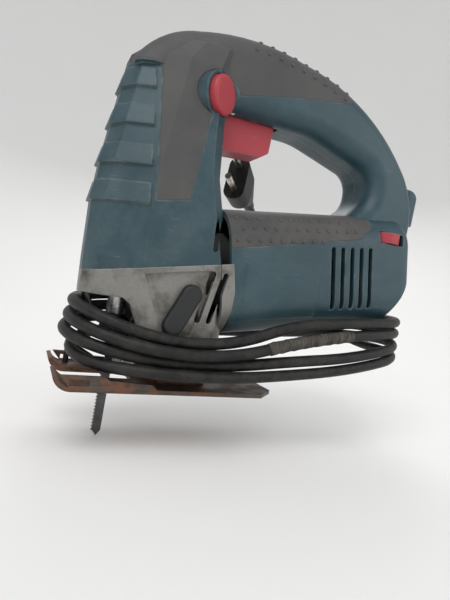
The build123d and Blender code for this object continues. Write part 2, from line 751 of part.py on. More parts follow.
def toothed(teeth, first_angle):
    """The closed outline of a toothed wheel, with a tooth centred on the first angle."""
    points = []
    pitch_radius = module * teeth / 2
    half_tooth = tooth_share * math.pi * module / 2
    levels = ((-dedendum, half_tooth + dedendum * pressure_slope),
              (addendum, half_tooth - addendum * pressure_slope))
    for k in range(teeth):
        middle = math.radians(first_angle) + 2 * math.pi * k / teeth
        for rise, half in (levels[0], levels[1]):
            radius = pitch_radius + rise
            angle = middle - half / radius
            points.append((radius * math.cos(angle), radius * math.sin(angle)))
        for rise, half in (levels[1], levels[0]):
            radius = pitch_radius + rise
            angle = middle + half / radius
            points.append((radius * math.cos(angle), radius * math.sin(angle)))
    return points


axle_head = 12.0
axle_front = -32.0
gear_plane = Plane(across.from_local_coords((0, gear_rise, 0)), x_dir=across.x_dir, z_dir=across.z_dir)
with BuildPart() as crank_gear:
    with BuildSketch(gear_plane.offset(gear_front)):
        with BuildLine():
            Polyline(*toothed(gear_teeth, -90.0 + 180.0 / gear_teeth), close=True)
        make_face()
        Circle(axle_diameter / 2 + running_fit, mode=Mode.SUBTRACT)
    extrude(amount=gear_width)
    with BuildSketch(across.offset(pin_reach)):
        with Locations((0, pin_up)):
            Circle(crank_pin_diameter / 2)
    extrude(amount=gear_front - pin_reach)
save(crank_gear.part, "crank_gear")
save(disc(across, pin_reach + 0.5, 9.5, roller_diameter, crank_pin_diameter + 2 * running_fit, (0, pin_up)),
     "crank_roller")
gear_axle = disc(across, axle_front, plate_rear - axle_front, axle_diameter, 0.0, (0, gear_rise))
axle_flange = disc(across, axle_front, gear_front - axle_front - clearance, axle_head, 0.0, (0, gear_rise))
save(gear_axle + axle_flange, "gear_axle")

pinion_front = -31.0
pinion_rear = -14.0
shaft_end = 106.0
with BuildPart() as armature_shaft:
    with BuildSketch(across.offset(pinion_front)):
        with BuildLine():
            Polyline(*toothed(pinion_teeth, 90.0), close=True)
        make_face()
    extrude(amount=pinion_rear - pinion_front)
    add(disc(across, pinion_rear, shaft_end - pinion_rear, shaft_diameter))
save(armature_shaft.part, "armature_shaft")

winding_length = 6.0
save(disc(across, field_start + 1.0, field_length - 2.0, stack_diameter, shaft_diameter), "armature_stack")
save(disc(across, field_start + field_length - 1.0, winding_length, stack_diameter - 5.0, shaft_diameter)
     + disc(across, field_start + 1.0 - winding_length, winding_length, stack_diameter - 5.0,
            shaft_diameter), "armature_windings")
save(disc(across, commutator_start, commutator_length, commutator_diameter, shaft_diameter), "commutator")

fan_hub = 16.0
fan_plate = 2.0
with BuildPart() as fan:
    add(disc(across, fan_start, fan_width, fan_hub, shaft_diameter))
    add(disc(across, fan_start, fan_plate, fan_diameter, shaft_diameter))
    with BuildSketch(across.offset(fan_start)):
        with PolarLocations((fan_diameter + fan_hub) / 4, fan_blades):
            Rectangle((fan_diameter - fan_hub) / 2 - 0.5, 1.6)
    extrude(amount=fan_width)
save(fan.part, "fan")

with BuildPart() as field:
    with BuildSketch(across.offset(field_start)):
        Circle(field_diameter / 2)
        Circle(field_bore / 2, mode=Mode.SUBTRACT)
        with Locations((-field_diameter / 2, 0), (field_diameter / 2, 0)):
            Rectangle(3.0, 8.0, mode=Mode.SUBTRACT)
    extrude(amount=field_length)
save(field.part, "field")
winding_outer = field_diameter - 8.0
save(disc(across, field_start + field_length, winding_length, winding_outer, field_bore + 4.0)
     + disc(across, field_start - winding_length, winding_length, winding_outer, field_bore + 4.0),
     "field_windings")

save(disc(across, front_bearing_start, front_bearing_width, front_bearing_diameter,
          shaft_diameter + 2 * running_fit), "front_bearing")
save(disc(across, rear_bearing_start, rear_bearing_width, rear_bearing_diameter,
          shaft_diameter + 2 * running_fit), "rear_bearing")

commutator_middle = commutator_start + commutator_length / 2
holder_start = 13.5
brush_end = 22.0
with BuildPart() as brush_holders:
    for side in (-1, 1):
        with BuildSketch(across.offset(commutator_middle - brush_width / 2 - holder_wall)):
            with Locations((side * (holder_start + holder_end) / 2, 0)):
                Rectangle(holder_end - holder_start, brush_height + 2 * holder_wall)
        extrude(amount=brush_width + 2 * holder_wall)
        with BuildSketch(across.offset(commutator_middle - brush_width / 2 - running_fit)):
            with Locations((side * (holder_start + holder_end) / 2, 0)):
                Rectangle(holder_end - holder_start, brush_height + 2 * running_fit)
        extrude(amount=brush_width + 2 * running_fit, mode=Mode.SUBTRACT)
save(brush_holders.part, "brush_holders")
with BuildPart() as brushes:
    for side in (-1, 1):
        with BuildSketch(across.offset(commutator_middle - brush_width / 2)):
            with Locations((side * (commutator_diameter / 2 + 0.1 + brush_end) / 2, 0)):
                Rectangle(brush_end - commutator_diameter / 2 - 0.1, brush_height)
        extrude(amount=brush_width)
save(brushes.part, "brushes")

# Switch, speed control module and the controls
save(block(switch_size, switch_centre, 1.5), "switch_module")
save(block(control_size, control_centre, 1.5), "control_module")

with BuildPart() as trigger:
    add(prism(trigger_outline, -trigger_width / 2, trigger_width / 2))
    fillet(trigger.edges().filter_by(Axis.Y).filter_by(lambda edge: edge.center().Z < 160), 2.5)
    add(post(trigger_hinge, trigger_pin_diameter + 2 * running_fit, -far_side, far_side), mode=Mode.SUBTRACT)
save(trigger.part, "trigger")
save(post(trigger_hinge, trigger_pin_diameter, -trigger_pin_half, trigger_pin_half), "trigger_pin")

lock_back = 3.0
with BuildPart() as lock_button:
    add(disc(lock_plane, -lock_back, lock_back + lock_height, lock_diameter))
    fillet(lock_button.faces().sort_by(Axis.Y)[0].edges(), 2.0)
    add(disc(lock_plane, -lock_seat_depth - 3.0, lock_seat_depth + 3.0 - lock_back, lock_stem))
save(lock_button.part, "lock_button")

dial_plane = Plane((dial_centre[0], dial_centre[1], 0))
save(disc(dial_plane, dial_centre[2] - dial_width / 2, dial_width, dial_diameter,
          dial_axle + 2 * running_fit), "speed_dial")
save(disc(dial_plane, dial_centre[2] - dial_axle_half, 2 * dial_axle_half, dial_axle), "dial_axle")

# Base plate: pressed steel with a slot for the blade, side rails that drop in steps and turned-up
# tips, the saddle it is clamped by, its screw, and a hex key clipped to the far prong
tip_round = 10.0
rail_steps = ((-6.0, rail_height), (-3.0, 6.4), (20.0, 5.4), (23.0, base_thickness + 0.4))
rear_corner = 12.0
with BuildPart() as base_plate:
    with BuildSketch(Plane.XY):
        with BuildLine():
            Polyline((base_front + tip_round, -base_half_width), (base_rear - rear_corner, -base_half_width),
                     (base_rear, -base_half_width + rear_corner), (base_rear, base_half_width - rear_corner),
                     (base_rear - rear_corner, base_half_width), (base_front + tip_round, base_half_width),
                     (base_front + tip_round, base_slot_half), (base_slot_end, base_slot_half),
                     (base_slot_end, -base_slot_half), (base_front + tip_round, -base_slot_half), close=True)
        make_face()
    extrude(amount=base_thickness)
    # Turned-up prong tips
    for low, high in ((-base_half_width, -base_slot_half), (base_slot_half, base_half_width)):
        with BuildSketch(Plane.XZ.offset(-high)):
            with BuildLine():
                outer_arc = JernArc((base_front + tip_round, 0), (-1, 0), tip_round, -75)
                inner_arc = JernArc((base_front + tip_round, base_thickness), (-1, 0),
                                    tip_round - base_thickness, -75)
                Line(outer_arc @ 1, inner_arc @ 1)
                Line((base_front + tip_round, 0), (base_front + tip_round, base_thickness))
            make_face()
        extrude(amount=high - low)
    # Side rails
    for side in (-1, 1):
        inner = side * (base_half_width - base_thickness)
        low, high = sorted((inner, side * base_half_width))
        add(prism(((base_front + tip_round, base_thickness / 2), (base_front + 4.0, rail_height),
                   *rail_steps, (rail_steps[-1][0], base_thickness / 2)), low, high))
    with BuildSketch(Plane.XZ.offset(-far_side)):
        with Locations((fence_slot_x, base_thickness + fence_slot_height / 2 + 0.8)):
            Rectangle(fence_slot_width, fence_slot_height)
    extrude(amount=2 * far_side, mode=Mode.SUBTRACT)
    with BuildSketch(Plane.XY):
        with Locations((base_screw_x, 0)):
            Circle(base_screw_diameter / 2 + 0.2)
    extrude(amount=base_thickness, mode=Mode.SUBTRACT)
save(base_plate.part, "base_plate")

saddle_size = (32.0, 40.0)
with BuildPart() as base_saddle:
    with BuildSketch(Plane.XY.offset(base_thickness)):
        with Locations((base_screw_x, 0)):
            RectangleRounded(saddle_size[0], saddle_size[1], 3.0)
            Circle(base_screw_diameter / 2 + 0.2, mode=Mode.SUBTRACT)
    extrude(amount=housing_foot - base_thickness)
save(base_saddle.part, "base_saddle")

screw_head_drop = 0.2
with BuildPart() as base_screw:
    with BuildSketch(Plane.XY.offset(screw_head_drop)):
        with Locations((base_screw_x, 0)):
            Circle(base_screw_diameter / 2)
    extrude(amount=housing_foot + floor_thickness + 4.0 - screw_head_drop)
    with BuildSketch(Plane.XY.offset(screw_head_drop)):
        with Locations((base_screw_x, 0)):
            RegularPolygon(2.2, 6)
    extrude(amount=3.0, mode=Mode.SUBTRACT)
save(base_screw.part, "base_screw")


def wire_along(points, radii, diameter):
    """A round wire along straight runs joined by tangent arcs."""
    with BuildPart() as made:
        with BuildLine() as path:
            FilletPolyline(*points, radius=radii)
        with BuildSketch(Plane(path.line @ 0, z_dir=path.line % 0)):
            Circle(diameter / 2)
        sweep(path=path.line)
    return made.part


key_diameter = 3.5
key_y = 28.0
key_route = ((-21.0, key_y, base_thickness), (-21.0, key_y, 16.0), (-5.0, key_y, 7.0))
save(wire_along(key_route, [4.0], key_diameter), "hex_key")

guard_diameter = 2.8
guard_half = 10.0
save(wire_along(((-17.5, -guard_half, 50.9), (-13.0, -guard_half, 38.0), (-13.0, guard_half, 38.0),
                 (-17.5, guard_half, 50.9)), [5.0, 5.0], guard_diameter), "guard_wire")

# Strain relief with its rings, then the cord: the lead from the relief to the coil, the coil
# wound round the neck, and the tail up to the plug
relief_rings = 5
relief_ring_pitch = 5.0
with BuildPart() as strain_relief:
    add(disc(outlet_plane, relief_start, relief_seat, relief_diameter))
    with BuildSketch(outlet_plane.offset(outlet_length)):
        Circle(relief_diameter / 2)
    with BuildSketch(outlet_plane.offset(outlet_run)):
        Circle(relief_tip_diameter / 2)
    loft()
    for k in range(relief_rings):
        add(disc(outlet_plane, outlet_length + 4.0 + k * relief_ring_pitch, 2.0, 2 * relief_diameter,
                 relief_tip_diameter - 1.0), mode=Mode.SUBTRACT)
save(strain_relief.part, "strain_relief")

# The coil's passes, turn by turn: where each crosses the far side, the nose, the near side, the
# near flank and the rear, and how steeply it climbs there. The near strands sag into a bunch.
far_passes = ((90.0, 41.5, 55.0, -0.05), (90.0, 41.5, 46.6, -0.05), (90.0, 41.5, 38.6, -0.05),
              (90.0, 41.5, 30.6, -0.05))
nose_passes = ((-23.4, 0.0, 45.0, -0.07), (-25.0, 0.0, 36.5, -0.10), (-26.9, 0.0, 28.5, -0.11),
               (-22.0, 0.0, 17.5, -0.17))
near_passes = ((45.0, -38.0, 30.5, 0.033), (45.0, -43.5, 24.5, 0.025), (45.0, -37.3, 18.1, 0.006),
               (45.0, -43.1, 12.6, 0.0))
flank_passes = ((125.0, -40.0, 49.5, 0.12), (125.0, -40.0, 39.5, 0.20), (125.0, -40.0, 26.4, 0.11),
                (125.0, -40.0, 18.2, 0.13))
rear_passes = ((208.0, 0.0, 56.5, 0.0), (208.0, 0.0, 48.5, 0.0), (208.0, 0.0, 40.5, 0.0),
               (208.0, 0.0, 32.5, 0.0))
pass_ways = ((-1, 0), (0, -1), (1, 0), (1, 0), (0, 1))


def coil_stations():
    """Points and headings of the coil, five to a turn, from the far side to the last rear pass."""
    stations = []
    for turn in zip(far_passes, nose_passes, near_passes, flank_passes, rear_passes):
        for (*place, climb), way in zip(turn, pass_ways):
            stations.append((Vector(*place), Vector(*way, climb).normalized()))
    return stations


def biarc_joint(start, start_way, end, end_way):
    """The point and heading where two arcs meet between two places with given headings."""
    across_way = end - start
    span = across_way.dot(across_way)
    lean = across_way.dot(start_way + end_way)
    turn = 1 - start_way.dot(end_way)
    reach = span / (lean + math.sqrt(lean ** 2 + 2 * turn * span))
    first = start + start_way * reach
    last = end - end_way * reach
    return (first + last) * 0.5, (last - first).normalized()


stations = coil_stations()
coil_start = stations[0][0] - stations[0][1] * cord_diameter
coil_end = stations[-1][0] + stations[-1][1] * cord_diameter
with BuildPart() as cord_coil:
    with BuildLine() as coil_path:
        Line(coil_start, stations[0][0])
        for (start, start_way), (end, end_way) in zip(stations, stations[1:]):
            joint, joint_way = biarc_joint(start, start_way, end, end_way)
            TangentArc(start, joint, tangent=start_way)
            TangentArc(joint, end, tangent=joint_way)
        Line(stations[-1][0], coil_end)
    with BuildSketch(Plane(coil_start, z_dir=stations[0][1])):
        Circle(cord_diameter / 2)
    sweep(path=coil_path.line)
save(cord_coil.part, "cord_coil")

coil_wire = coil_path.wires()[0]
coil_length = coil_wire.length
sample_count = 2400
neighbour_run = 60.0
samples = [tuple(coil_wire @ (k / sample_count)) for k in range(sample_count + 1)]
skip = int(neighbour_run / coil_length * sample_count)
coil_gap = min(math.dist(samples[i], other) for i in range(len(samples)) for other in samples[i + skip:])
print("coil length", round(coil_length, 1), "least gap to itself", round(coil_gap - cord_diameter, 2))
cord_area = math.pi * cord_diameter ** 2 / 4
print("coil volume ratio", round(cord_coil.part.volume / (cord_area * coil_length), 4))

lead_route = ((204.5, 5.4, 74.4), (203.0, 15.6, 66.2), (200.3, 30.3, 62.7), (191.1, 42.5, 62.5),
              (177.0, 47.5, 63.0), (151.0, 47.0, 61.0))
tail_route = ((203.6, 34.8, 36.2), (190.8, 52.7, 49.6), (181.9, 61.0, 58.1), (177.0, 67.4, 65.7),
              (167.2, 78.4, 80.3), (161.2, 86.1, 90.9), (152.1, 97.1, 107.2), (138.3, 97.2, 122.1))
relief_run = 12.0
coil_run_in = 27.0
coil_run_out = 13.6
plug_run = 16.1
plug_axis = Vector(-0.62, -0.74, 0.26).normalized()
plug_front = Vector(87.0, 43.0, 148.0)
plug_length = 36.0
neck_length = 12.0
plug_entry = plug_front - plug_axis * (plug_length + neck_length)
relief_end = Vector(outlet_low[0], 0, outlet_low[1])
lead_points = [relief_end, relief_end + Vector(outlet_down) * relief_run,
               *(Vector(place) for place in lead_route),
               coil_start - stations[0][1] * coil_run_in, coil_start]
tail_points = [coil_end, coil_end + stations[-1][1] * coil_run_out, *(Vector(place) for place in tail_route),
               plug_entry - plug_axis * plug_run, plug_entry]


def corner_radii(points):
    """The largest arc for each corner of a cord's route."""
    radii = []
    for before, corner, after in zip(points, points[1:], points[2:]):
        turn = (corner - before).get_angle(after - corner)
        shorter = min((corner - before).length, (after - corner).length)
        radii.append(0.45 * shorter / math.tan(math.radians(turn / 2)))
    return radii


for name, points in (("cord_lead", lead_points), ("cord_tail", tail_points)):
    radii = corner_radii(points)
    stretch = wire_along(points, radii, cord_diameter)
    run = stretch.volume / cord_area
    print(name, "length", round(run, 1), "radii", [round(radius, 1) for radius in radii])
    save(stretch, name)

# Plug: a flat moulded body with two round pins
plug_plane = Plane(plug_front, x_dir=(0.12, 0.12, 1), z_dir=plug_axis)
plug_sections = ((0.0, 35.0, 16.0, 7.0), (-20.0, 32.0, 16.5, 7.5), (-plug_length, 13.0, 12.0, 5.5))
with BuildPart() as plug:
    for back, broad, thick, corner in plug_sections:
        with BuildSketch(plug_plane.offset(back)):
            RectangleRounded(broad, thick, corner)
    loft(ruled=True)
    with BuildSketch(plug_plane.offset(-plug_length)):
        Circle(5.5)
    with BuildSketch(plug_plane.offset(-plug_length - neck_length)):
        Circle(4.5)
    loft()
    with BuildSketch(plug_plane.offset(-4.0)):
        with GridLocations(plug_pin_spacing, 0, 2, 1):
            Circle(plug_pin_diameter / 2)
    extrude(amount=8.0, mode=Mode.SUBTRACT)
save(plug.part, "plug")
with BuildPart() as plug_pins:
    with BuildSketch(plug_plane.offset(-4.0)):
        with GridLocations(plug_pin_spacing, 0, 2, 1):
            Circle(plug_pin_diameter / 2)
    extrude(amount=plug_pin_length + 4.0)
save(plug_pins.part, "plug_pins")
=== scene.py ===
import math

import bmesh
import bpy
from mathutils import Matrix, Vector
from mathutils.bvhtree import BVHTree


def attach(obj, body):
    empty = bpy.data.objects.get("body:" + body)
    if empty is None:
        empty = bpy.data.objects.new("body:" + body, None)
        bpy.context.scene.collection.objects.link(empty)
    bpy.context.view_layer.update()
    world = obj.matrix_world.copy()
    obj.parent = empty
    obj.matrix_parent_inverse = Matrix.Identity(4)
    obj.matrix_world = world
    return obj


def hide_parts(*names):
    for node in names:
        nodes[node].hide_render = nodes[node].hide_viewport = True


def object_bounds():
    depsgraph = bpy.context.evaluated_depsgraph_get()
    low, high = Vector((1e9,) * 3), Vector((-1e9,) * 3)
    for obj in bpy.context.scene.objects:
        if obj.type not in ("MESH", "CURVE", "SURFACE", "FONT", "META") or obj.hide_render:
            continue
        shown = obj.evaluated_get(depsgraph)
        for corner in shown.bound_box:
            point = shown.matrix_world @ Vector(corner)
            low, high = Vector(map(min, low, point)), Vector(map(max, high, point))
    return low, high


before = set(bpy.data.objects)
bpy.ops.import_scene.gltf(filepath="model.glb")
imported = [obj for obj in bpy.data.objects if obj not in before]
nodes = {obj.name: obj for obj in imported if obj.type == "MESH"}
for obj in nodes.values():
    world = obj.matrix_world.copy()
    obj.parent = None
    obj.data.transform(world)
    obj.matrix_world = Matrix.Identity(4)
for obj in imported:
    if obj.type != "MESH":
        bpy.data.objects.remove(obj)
cad_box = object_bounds()

# Shoe: a pressed steel plate with two prongs in front of the blade slot, and the saddle that
# clamps it to the gear housing. Its zinc is worn off and it has rusted in patches, most of all
# on the prongs and along the rails.
RUST = (0.150, 0.055, 0.020)
DARK_RUST = (0.030, 0.017, 0.012)
WORN_STEEL = (0.125, 0.105, 0.090)


class Socket:
    """A shader socket that takes arithmetic: an expression on values adds its Math nodes."""

    def __init__(self, tree, output):
        self.tree = tree
        self.output = output

    def node(self, kind, settings=None, result=0, **sockets):
        """Add a node of a kind: its settings first, then the values or links of its sockets."""
        made = self.tree.nodes.new("ShaderNode" + kind)
        for name, value in (settings or {}).items():
            if name == "stops":
                for stop, (place, grey) in zip(made.color_ramp.elements, value):
                    stop.position = place
                    stop.color = (grey, grey, grey, 1)
            else:
                setattr(made, name, value)
        for name, value in sockets.items():
            plain = name.replace("_", " ")
            socket = next(s for s in made.inputs if s.identifier == name or s.name == plain)
            if isinstance(value, Socket):
                self.tree.links.new(value.output, socket)
            elif socket.type == "RGBA":
                socket.default_value = (*value, 1)
            else:
                socket.default_value = value
        return Socket(self.tree, made.outputs[result])

    def maths(self, operation, first, second=0.0):
        """A Math node on two values."""
        return self.node("Math", {"operation": operation}, Value=first, Value_001=second)

    def __add__(self, other):
        return self.maths("ADD", self, other)

    def __radd__(self, other):
        return self.maths("ADD", other, self)

    def __sub__(self, other):
        return self.maths("SUBTRACT", self, other)

    def __rsub__(self, other):
        return self.maths("SUBTRACT", other, self)

    def __mul__(self, other):
        return self.maths("MULTIPLY", self, other)

    def __rmul__(self, other):
        return self.maths("MULTIPLY", other, self)

    def between(self, low, high):
        """The value spread from 0 at low to 1 at high, and held there."""
        return self.node("MapRange", Value=self, From_Min=low, From_Max=high)

    def mix(self, first, second):
        """A colour between two, with this value as the share of the second."""
        return self.node("Mix", {"data_type": "RGBA"}, 2, Factor_Float=self, A_Color=first, B_Color=second)

    def noise(self, size, detail=3.0, roughness=0.55):
        """Cloudy noise with patches of a size in metres, on these coordinates."""
        return self.node("TexNoise", Vector=self, Scale=1 / size, Detail=detail, Roughness=roughness)

    def stretched(self, scale, turn=(0.0, 0.0, 0.0)):
        """These coordinates turned and stretched."""
        return self.node("Mapping", Vector=self, Scale=scale, Rotation=turn)

    def axis(self, number):
        """One of the three coordinates."""
        return self.node("SeparateXYZ", None, number, Vector=self)


def new_finish(name):
    """A fresh node material, and the socket of its piece's own coordinates."""
    finish = bpy.data.materials.new(name)
    finish.use_nodes = True
    places = finish.node_tree.nodes.new("ShaderNodeTexCoord")
    return finish, Socket(finish.node_tree, places.outputs["Object"])


def edge_and_bevel(places, radius):
    """How sharply the surface turns near a point, 0 on a flat to 1 on an edge, and the softened normal."""
    soft = places.node("Bevel", {"samples": 6}, Radius=radius)
    flat = places.node("NewGeometry", None, 1)
    meet = places.node("VectorMath", {"operation": "DOT_PRODUCT"}, 1, Vector=soft, Vector_001=flat)
    return (1.0 - meet).between(0.02, 0.22), soft


def set_finish(finish, places, colour, roughness, metallic=0.0, relief=None, depth=0.0001, normal=None,
               **plain):
    """Link what changes over the surface to the shader, and set what is the same all over."""
    shader = finish.node_tree.nodes["Principled BSDF"]
    links = finish.node_tree.links
    for name, value in (("Base Color", colour), ("Roughness", roughness), ("Metallic", metallic)):
        if isinstance(value, Socket):
            links.new(value.output, shader.inputs[name])
        else:
            shader.inputs[name].default_value = value
    if relief is not None:
        extra = {"Normal": normal} if normal is not None else {}
        normal = places.node("Bump", Strength=1.0, Distance=depth, Height=relief, **extra)
    if normal is not None:
        links.new(normal.output, shader.inputs["Normal"])
    for name, value in plain.items():
        shader.inputs[name.replace("_", " ")].default_value = value
    return finish


def wear(finish, *names):
    """Give CAD nodes a finish."""
    for name in names:
        nodes[name].material_slots[0].material = finish


def rusted_steel():
    """Worn zinc, with brown rust in patches and darker rust inside them."""
    finish, places = new_finish("rusted_steel")
    cloud = places.noise(0.018, 5.0, 0.62)
    fine = places.noise(0.0016, 4.0, 0.65)
    drag = places.stretched((60.0, 900.0, 900.0)).noise(1.0, 2.0)
    edge, soft = edge_and_bevel(places, 0.0012)
    front = places.axis(0).between(0.03, -0.03)
    rust = (cloud + front * 0.10 + fine * 0.22).between(0.56, 0.76)
    deep = places.noise(0.007, 4.0).between(0.5, 0.68)
    brown = deep.mix(RUST, DARK_RUST)
    steel = (drag * 0.6 + fine * 0.4).between(0.3, 0.75).mix((0.045, 0.038, 0.033), WORN_STEEL)
    colour = (edge * 0.35).mix(rust.mix(steel, brown), WORN_STEEL)
    relief = fine * 0.7 + cloud * 0.3
    return set_finish(finish, places, colour, rust * 0.32 + 0.42, (1.0 - rust) * 0.7, relief, 0.00025, soft)


rusted = rusted_steel()
wear(rusted, "base_plate", "base_saddle")

# Gear housing: a cast light alloy case with a rough skin, smeared with old grease and dust in its
# corners and rubbed brighter along its edges.
CAST_ALLOY = (0.255, 0.252, 0.234)
GREASE = (0.060, 0.053, 0.040)


def cast_alloy():
    """Matt casting with a pebbled skin, stains and rubbed edges."""
    finish, places = new_finish("cast_alloy")
    skin = places.noise(0.0009, 4.0, 0.7)
    stain = places.noise(0.022, 5.0, 0.65)
    spots = places.noise(0.004, 3.0, 0.6)
    edge, soft = edge_and_bevel(places, 0.0011)
    low = places.axis(2).between(0.060, 0.020)
    dirt = (stain + low * 0.10 + spots * 0.18).between(0.58, 0.80)
    metal = (skin * 0.5 + spots * 0.5).between(0.25, 0.8).mix((0.180, 0.177, 0.162), CAST_ALLOY)
    colour = (edge * 0.5).mix(dirt.mix(metal, GREASE), (0.45, 0.45, 0.43))
    return set_finish(finish, places, colour, dirt * 0.25 + 0.46, 0.55 - dirt * 0.4, skin, 0.00022, soft)


wear(cast_alloy(), "gear_housing")

# Drive train: ground rod, sintered gear, bronze bushes, and the pins and bearings between them.
# The bright parts keep their turning lines under a film of grease.
GROUND_STEEL = (0.48, 0.48, 0.49)


def turned_metal(name, bright, dull, roughness, line_size=0.0004):
    """Machined metal with fine lines and a dull film in patches."""
    finish, places = new_finish(name)
    lines = places.stretched((1.0, 1.0, 8.0)).noise(line_size, 2.0)
    film = places.noise(0.006, 4.0, 0.6).between(0.42, 0.72)
    edge, soft = edge_and_bevel(places, 0.0004)
    colour = (edge * 0.4).mix((film * 0.7 + lines * 0.2).mix(bright, dull), bright)
    return set_finish(finish, places, colour, film * 0.18 + roughness, 0.95, lines, 0.00002, soft)


ground_steel = turned_metal("ground_steel", GROUND_STEEL, (0.22, 0.215, 0.21), 0.24)
wear(ground_steel, "plunger_rod", "yoke", "crank_roller", "gear_axle", "roller_pin", "fork_pin",
     "trigger_pin", "dial_axle", "guide_roller", "roller_fork", "front_bearing", "rear_bearing",
     "armature_shaft")
wear(turned_metal("gear_steel", (0.30, 0.30, 0.31), (0.15, 0.14, 0.13), 0.34), "crank_gear")
wear(turned_metal("bush_bronze", (0.50, 0.33, 0.15), (0.26, 0.17, 0.08), 0.30), "lower_bush", "upper_bush")
wear(turned_metal("blackened_steel", (0.075, 0.072, 0.070), (0.035, 0.033, 0.032), 0.38),
     "shell_screws", "base_screw", "hex_key", "clamp_body", "guard_wire")
wear(turned_metal("clamp_satin", (0.060, 0.060, 0.062), (0.030, 0.030, 0.030), 0.42), "clamp_sleeve")

# Blade: a rolled and ground steel strip, browned by heat, with bright ground teeth along its
# front edge and streaks where it has rubbed in wood.
def saw_blade():
    """Dark strip steel with streaks along its length and brighter teeth."""
    finish, places = new_finish("saw_blade")
    streaks = places.stretched((1.0, 1.0, 0.08)).noise(0.0012, 4.0)
    blotch = places.noise(0.006, 4.0).between(0.4, 0.7)
    edge, soft = edge_and_bevel(places, 0.0003)
    body = (streaks * 0.6 + blotch * 0.4).mix((0.115, 0.118, 0.122), (0.045, 0.044, 0.044))
    colour = edge.mix(body, (0.34, 0.34, 0.345))
    return set_finish(finish, places, colour, blotch * 0.15 + 0.34, 0.85, streaks, 0.00003, soft)


wear(saw_blade(), "blade")

# Motor: stacked sheet iron, copper end turns under brown lacquer, the banded commutator with its
# carbon brushes, and dark moulded holders, fan, switch and control box.
def wound_copper():
    """Lacquered wire laid side by side."""
    finish, places = new_finish("wound_copper")
    along = places.stretched((1.0, 1.0, 1.0), (0.0, 0.14, 0.0))
    wire = along.node("TexWave", {"wave_type": "RINGS", "rings_direction": "X"}, 1,
                      Vector=along, Scale=420.0, Distortion=1.5, Detail=1.0)
    shade = places.noise(0.004, 3.0)
    colour = (wire * 0.6 + shade * 0.4).mix((0.12, 0.040, 0.016), (0.46, 0.19, 0.075))
    return set_finish(finish, places, colour, shade * 0.2 + 0.28, 0.6, wire, 0.0002)


def stacked_sheet():
    """Thin iron sheets pressed together, seen edge on."""
    finish, places = new_finish("stacked_sheet")
    along = places.stretched((1.0, 1.0, 1.0), (0.0, 0.14, 0.0))
    sheets = along.node("TexWave", {"bands_direction": "X"}, 1, Vector=along, Scale=310.0, Distortion=0.3)
    shade = places.noise(0.008, 4.0)
    colour = (sheets * 0.5 + shade * 0.5).mix((0.075, 0.072, 0.072), (0.22, 0.215, 0.21))
    return set_finish(finish, places, colour, shade * 0.2 + 0.40, 0.8, sheets, 0.00012)


def moulded_plastic(name, colour, pale, roughness, grain_size=0.0006, grain_depth=0.00004):
    """Moulded plastic: a fine spark-eroded grain, a little uneven colour, edges rubbed paler."""
    finish, places = new_finish(name)
    grain = places.noise(grain_size, 3.0, 0.6)
    cloud = places.noise(0.03, 4.0)
    rub = places.stretched((1.0, 1.0, 6.0), (0.0, 0.6, 0.3)).noise(0.010, 5.0, 0.7).between(0.60, 0.72)
    edge, soft = edge_and_bevel(places, 0.0010)
    shade = (cloud * 0.6 + grain * 0.4).between(0.25, 0.75)
    base = shade.mix(tuple(0.82 * c for c in colour), tuple(1.12 * c for c in colour))
    worn = (edge * 0.55 + rub * 0.22).between(0.0, 1.0)
    return set_finish(finish, places, worn.mix(base, pale), grain * 0.12 + roughness, 0.0,
                      grain, grain_depth, soft)


wear(wound_copper(), "field_windings", "armature_windings", "commutator")
wear(stacked_sheet(), "field", "armature_stack")
wear(moulded_plastic("pressed_carbon", (0.030, 0.030, 0.031), (0.08, 0.08, 0.08), 0.45), "brushes")
wear(moulded_plastic("dark_moulding", (0.026, 0.027, 0.028), (0.11, 0.11, 0.11), 0.48),
     "brush_holders", "switch_module", "control_module", "fan")

# Shells: two halves in blue-green glass-filled nylon, with shingles moulded across the nose. The
# colour is scuffed and dusty on the corners, and scratched along the sides.
SHELL_BLUE = (0.013, 0.047, 0.061)
SHELL_DUST = (0.15, 0.165, 0.16)


def shell_plastic():
    """Grained plastic with dust in the grain, rubbed edges and long thin scratches."""
    finish, places = new_finish("shell_plastic")
    grain = places.noise(0.0007, 3.0, 0.6)
    cloud = places.noise(0.045, 5.0, 0.6)
    smear = places.noise(0.012, 5.0, 0.68)
    edge, soft = edge_and_bevel(places, 0.0016)
    scratch = 0.0
    for turn, size in (((0.2, 0.9, 0.1), 0.010), ((0.1, -0.5, 0.3), 0.014), ((0.3, 0.2, -0.2), 0.012)):
        lines = places.stretched((1.0, 1.0, 30.0), turn).noise(size, 2.0, 0.4)
        scratch = scratch + lines.between(0.735, 0.765)
    broken = smear.between(0.48, 0.62)
    base = cloud.between(0.3, 0.7).mix(tuple(0.80 * c for c in SHELL_BLUE),
                                       tuple(1.18 * c for c in SHELL_BLUE))
    dust = (cloud * 0.45 + smear * 0.55).between(0.44, 0.78)
    front = places.axis(0).between(0.13, 0.04) * 0.55 + 0.45
    pale_share = (dust * front * (grain * 0.8 + 0.35) * 0.46).mix(base, SHELL_DUST)
    worn = (edge * (broken * 0.6 + 0.25) * 0.75 + scratch * broken * 0.45).between(0.0, 1.0)
    colour = worn.mix(pale_share, (0.27, 0.30, 0.29))
    relief = grain * 0.8 - scratch * 0.5
    return set_finish(finish, places, colour, dust * 0.16 + grain * 0.10 + 0.36, 0.0, relief, 0.00006, soft)


wear(shell_plastic(), "left_shell", "right_shell")

# Label field: a thin raised panel on the barrel's near side, left bare, with a rolled edge. It follows
# the shell's surface under it.
FIELD_LOW = (0.068, 0.044)
FIELD_HIGH = (0.1235, 0.082)
FIELD_SLOPE = 0.1405
FIELD_RAISE = 0.00035
FIELD_CELLS = (56, 38)


